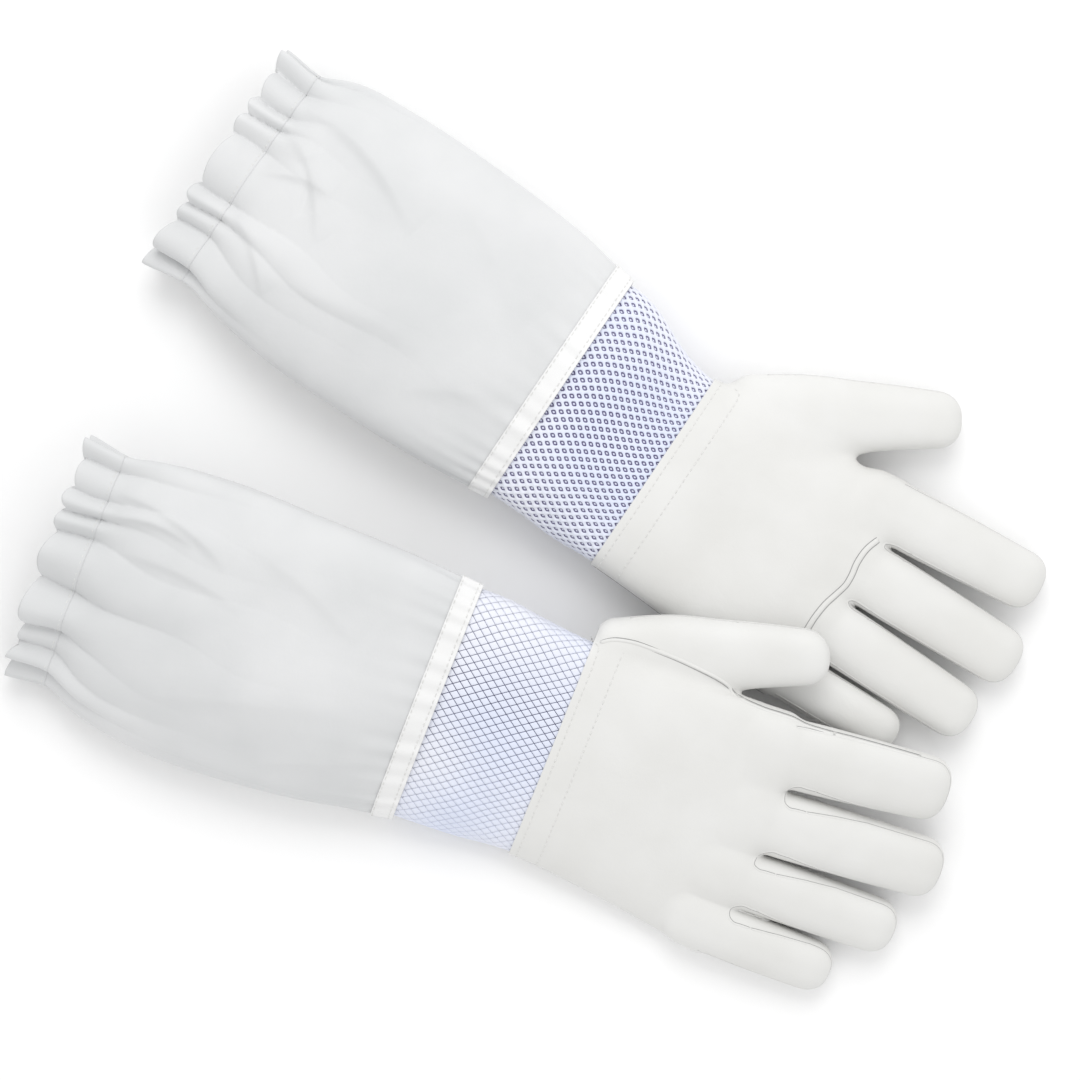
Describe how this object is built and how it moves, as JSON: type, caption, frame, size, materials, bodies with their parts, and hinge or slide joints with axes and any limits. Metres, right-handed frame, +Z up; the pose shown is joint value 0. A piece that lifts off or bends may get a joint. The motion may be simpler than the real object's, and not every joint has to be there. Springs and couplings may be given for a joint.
{
  "type": "beekeeping gloves",
  "caption": "Pair of long beekeeping gloves: leather hands, ventilated net wrist bands and canvas sleeves with elastic hems, the right glove resting on the left.",
  "frame": {"origin": "centre of the pair's box at the surface it lies on", "axes": "+X towards the fingertips, midway between the two gloves' long axes; +Y towards the thumbs; +Z up"},
  "size_m": [0.5078, 0.3568, 0.0671],
  "materials": {
    "glove_leather": "smooth matt goatskin",
    "sleeve_canvas": "plain woven cotton canvas",
    "facing_cotton": "bleached cotton band",
    "seam_tape": "felled cotton seam",
    "coarse_net": "open polyester net",
    "spacer_net": "open polyester spacer netting",
    "fine_net": "fine polyester net",
    "elastic": "woven elastic"
  },
  "bodies": {
    "left_hand": {"left_palm_panel": "glove_leather", "left_back_panel": "glove_leather", "left_thumb_gusset": "glove_leather", "left_palm_welt": "glove_leather", "left_wrist_hem": "glove_leather", "left_outer_net": "coarse_net", "left_spacer_layer": "spacer_net", "left_inner_net": "fine_net"},
    "left_gauntlet": {"left_sleeve": "sleeve_canvas", "left_sleeve_facing": "facing_cotton", "left_side_seam": "seam_tape", "left_elastic_casing": "sleeve_canvas", "left_elastic_band": "elastic"},
    "left_thumb": {"left_thumb_front": "glove_leather", "left_thumb_back": "glove_leather"},
    "left_index": {"left_index_front": "glove_leather", "left_index_back": "glove_leather", "left_index_fourchettes": "glove_leather"},
    "left_middle": {"left_middle_front": "glove_leather", "left_middle_back": "glove_leather", "left_middle_fourchettes": "glove_leather"},
    "left_ring": {"left_ring_front": "glove_leather", "left_ring_back": "glove_leather", "left_ring_fourchettes": "glove_leather"},
    "left_little": {"left_little_front": "glove_leather", "left_little_back": "glove_leather", "left_little_fourchettes": "glove_leather"},
    "right_hand": {"right_back_panel": "glove_leather", "right_palm_panel": "glove_leather", "right_thumb_gusset": "glove_leather", "right_palm_welt": "glove_leather", "right_wrist_hem": "glove_leather", "right_outer_net": "coarse_net", "right_spacer_layer": "spacer_net", "right_inner_net": "fine_net"},
    "right_gauntlet": {"right_sleeve": "sleeve_canvas", "right_sleeve_facing": "facing_cotton", "right_side_seam": "seam_tape", "right_elastic_casing": "sleeve_canvas", "right_elastic_band": "elastic"},
    "right_thumb": {"right_thumb_back": "glove_leather", "right_thumb_front": "glove_leather"},
    "right_index": {"right_index_back": "glove_leather", "right_index_front": "glove_leather", "right_index_fourchettes": "glove_leather"},
    "right_middle": {"right_middle_back": "glove_leather", "right_middle_front": "glove_leather", "right_middle_fourchettes": "glove_leather"},
    "right_ring": {"right_ring_back": "glove_leather", "right_ring_front": "glove_leather", "right_ring_fourchettes": "glove_leather"},
    "right_little": {"right_little_back": "glove_leather", "right_little_front": "glove_leather", "right_little_fourchettes": "glove_leather"}
  },
  "joints": [
    {"name": "right_glove_lift", "type": "slide", "parent": "left_hand", "child": "right_hand", "axis": [0, 0, 1], "range_m": [0, 0.15]},
    {"name": "left_index_flex", "type": "hinge", "parent": "left_hand", "child": "left_index", "pos_m": [0.15193, 0.11161, 0.02199], "axis": [0.0072, -0.9962, 0.087], "range_deg": [0, 60]},
    {"name": "left_middle_flex", "type": "hinge", "parent": "left_hand", "child": "left_middle", "pos_m": [0.1487, 0.07704, 0.02199], "axis": [-0.0558, -0.991, 0.1216], "range_deg": [0, 60]},
    {"name": "left_ring_flex", "type": "hinge", "parent": "left_hand", "child": "left_ring", "pos_m": [0.14648, 0.04297, 0.02199], "axis": [-0.0843, -0.9841, 0.1561], "range_deg": [0, 60]},
    {"name": "left_little_flex", "type": "hinge", "parent": "left_hand", "child": "left_little", "pos_m": [0.14362, 0.01222, 0.02099], "axis": [-0.0206, -0.9875, 0.1561], "range_deg": [0, 60]},
    {"name": "left_thumb_spread", "type": "hinge", "parent": "left_hand", "child": "left_thumb", "pos_m": [0.10317, 0.14509, 0.015], "axis": [0, 0, 1], "range_deg": [-6, 25]},
    {"name": "left_wrist_flex", "type": "hinge", "parent": "left_hand", "child": "left_gauntlet", "pos_m": [-0.00526, 0.07995, 0.0225], "axis": [0.1089, 0.9941, 0], "range_deg": [-40, 40], "deforming": ["left_outer_net", "left_spacer_layer", "left_inner_net"]},
    {"name": "right_index_flex", "type": "hinge", "parent": "right_hand", "child": "right_index", "pos_m": [0.15929, -0.01985, 0.03085], "axis": [-0.248, 0.9592, -0.1355], "range_deg": [0, 60]},
    {"name": "right_middle_flex", "type": "hinge", "parent": "right_hand", "child": "right_middle", "pos_m": [0.16451, -0.05644, 0.02126], "axis": [-0.1907, 0.9811, -0.0327], "range_deg": [0, 60]},
    {"name": "right_ring_flex", "type": "hinge", "parent": "right_hand", "child": "right_ring", "pos_m": [0.16534, -0.08966, 0.01278], "axis": [-0.1373, 0.9899, 0.0361], "range_deg": [0, 60]},
    {"name": "right_little_flex", "type": "hinge", "parent": "right_hand", "child": "right_little", "pos_m": [0.16735, -0.11893, 0.00695], "axis": [-0.1036, 0.9891, 0.1048], "range_deg": [0, 60]},
    {"name": "right_thumb_spread", "type": "hinge", "parent": "right_hand", "child": "right_thumb", "pos_m": [0.09827, 0.00401, 0.03738], "axis": [0.03, -0.274, 0.9613], "range_deg": [0, 30]},
    {"name": "right_wrist_flex", "type": "hinge", "parent": "right_hand", "child": "right_gauntlet", "pos_m": [0.0141, -0.08076, 0.02739], "axis": [-0.1047, 0.9555, 0.2756], "range_deg": [-40, 40], "deforming": ["right_outer_net", "right_spacer_layer", "right_inner_net"]}
  ]
}
